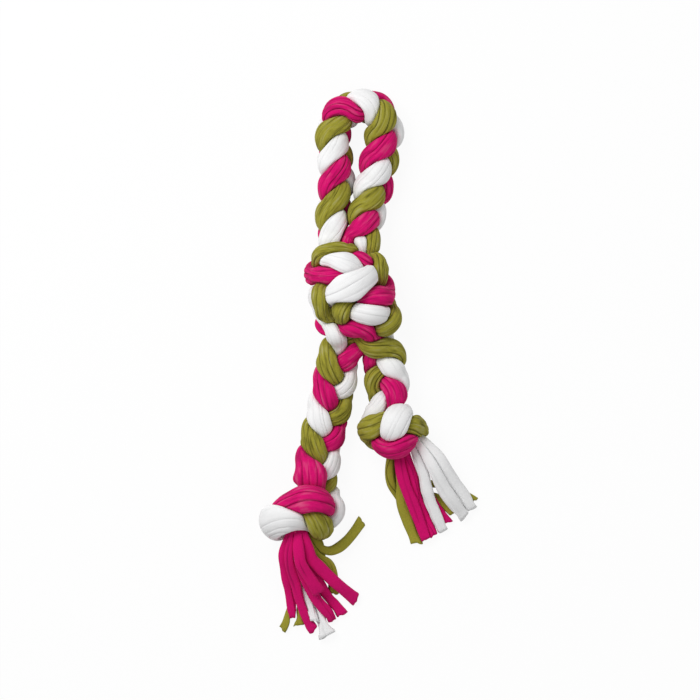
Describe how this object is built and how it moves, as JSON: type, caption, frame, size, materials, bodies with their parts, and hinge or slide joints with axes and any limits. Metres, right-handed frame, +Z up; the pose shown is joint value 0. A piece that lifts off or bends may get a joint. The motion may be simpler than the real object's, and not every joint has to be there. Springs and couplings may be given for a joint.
{
  "type": "rope dog toy",
  "caption": "Plaited cloth rope tug toy with a hand loop, a centre knot and knotted legs that end in tassels of loose strips.",
  "frame": {"origin": "on the surface that the toy lies on, under the middle of the centre knot", "axes": "+Y along the toy from the centre knot to the hand loop, +Z up from the surface"},
  "size_m": [0.1959, 0.4966, 0.0743],
  "materials": {
    "green_cloth": "matte jersey",
    "pink_cloth": "matte jersey",
    "white_cloth": "matte jersey"
  },
  "bodies": {
    "centre_knot": {"centre_knot_left_green": "green_cloth", "centre_knot_left_pink": "pink_cloth", "centre_knot_left_white": "white_cloth", "centre_knot_right_green": "green_cloth", "centre_knot_right_pink": "pink_cloth", "centre_knot_right_white": "white_cloth"},
    "hand_loop": {"hand_loop_green": "green_cloth", "hand_loop_pink": "pink_cloth", "hand_loop_white": "white_cloth", "loop_neck_left_green": "green_cloth", "loop_neck_left_pink": "pink_cloth", "loop_neck_left_white": "white_cloth", "loop_neck_right_green": "green_cloth", "loop_neck_right_pink": "pink_cloth", "loop_neck_right_white": "white_cloth"},
    "left_leg": {"left_leg_green": "green_cloth", "left_leg_pink": "pink_cloth", "left_leg_white": "white_cloth", "left_leg_neck_green": "green_cloth", "left_leg_neck_pink": "pink_cloth", "left_leg_neck_white": "white_cloth", "left_end_knot_green": "green_cloth", "left_end_knot_pink": "pink_cloth", "left_end_knot_white": "white_cloth", "left_tassel_root_green": "green_cloth", "left_tassel_root_pink": "pink_cloth", "left_tassel_root_white": "white_cloth"},
    "right_leg": {"right_end_knot_green": "green_cloth", "right_end_knot_pink": "pink_cloth", "right_end_knot_white": "white_cloth", "right_leg_neck_green": "green_cloth", "right_leg_neck_pink": "pink_cloth", "right_leg_neck_white": "white_cloth", "right_tassel_root_green": "green_cloth", "right_tassel_root_pink": "pink_cloth", "right_tassel_root_white": "white_cloth"},
    "left_tassel": {"left_strip_pink_1": "pink_cloth", "left_strip_pink_2": "pink_cloth", "left_strip_pink_3": "pink_cloth", "left_strip_pink_4": "pink_cloth", "left_strip_pink_5": "pink_cloth", "left_strip_pink_6": "pink_cloth", "left_strip_white_1": "white_cloth", "left_strip_white_2": "white_cloth", "left_strip_green_1": "green_cloth", "left_strip_green_2": "green_cloth", "left_strip_green_3": "green_cloth", "left_strip_green_4": "green_cloth"},
    "right_tassel": {"right_strip_green_1": "green_cloth", "right_strip_green_2": "green_cloth", "right_strip_green_3": "green_cloth", "right_strip_green_4": "green_cloth", "right_strip_pink_1": "pink_cloth", "right_strip_pink_2": "pink_cloth", "right_strip_pink_3": "pink_cloth", "right_strip_white_1": "white_cloth", "right_strip_white_2": "white_cloth", "right_strip_white_3": "white_cloth"}
  },
  "joints": [
    {"name": "loop_fold", "type": "hinge", "parent": "centre_knot", "child": "hand_loop", "pos_m": [0, 0.075, 0.021], "axis": [1, 0, 0], "range_deg": [-60, 65], "deforming": ["loop_neck_left_green", "loop_neck_left_pink", "loop_neck_left_white", "loop_neck_right_green", "loop_neck_right_pink", "loop_neck_right_white"]},
    {"name": "left_leg_swing", "type": "hinge", "parent": "centre_knot", "child": "left_leg", "pos_m": [-0.0145, -0.066, 0.018], "axis": [0, 0, 1], "range_deg": [-60, 6], "deforming": ["left_leg_neck_green", "left_leg_neck_pink", "left_leg_neck_white"]},
    {"name": "right_leg_swing", "type": "hinge", "parent": "centre_knot", "child": "right_leg", "pos_m": [0.03, -0.061, 0.018], "axis": [0, 0, 1], "range_deg": [-6, 60], "deforming": ["right_leg_neck_green", "right_leg_neck_pink", "right_leg_neck_white"]},
    {"name": "left_tassel_flop", "type": "hinge", "parent": "left_leg", "child": "left_tassel", "pos_m": [-0.0455, -0.221, 0.016], "axis": [-0.98, -0.199, 0], "range_deg": [-45, 45], "deforming": ["left_tassel_root_green", "left_tassel_root_pink", "left_tassel_root_white"]},
    {"name": "right_tassel_flop", "type": "hinge", "parent": "right_leg", "child": "right_tassel", "pos_m": [0.051, -0.149, 0.018], "axis": [-0.891, -0.454, 0], "range_deg": [-45, 45], "deforming": ["right_tassel_root_green", "right_tassel_root_pink", "right_tassel_root_white"]}
  ]
}
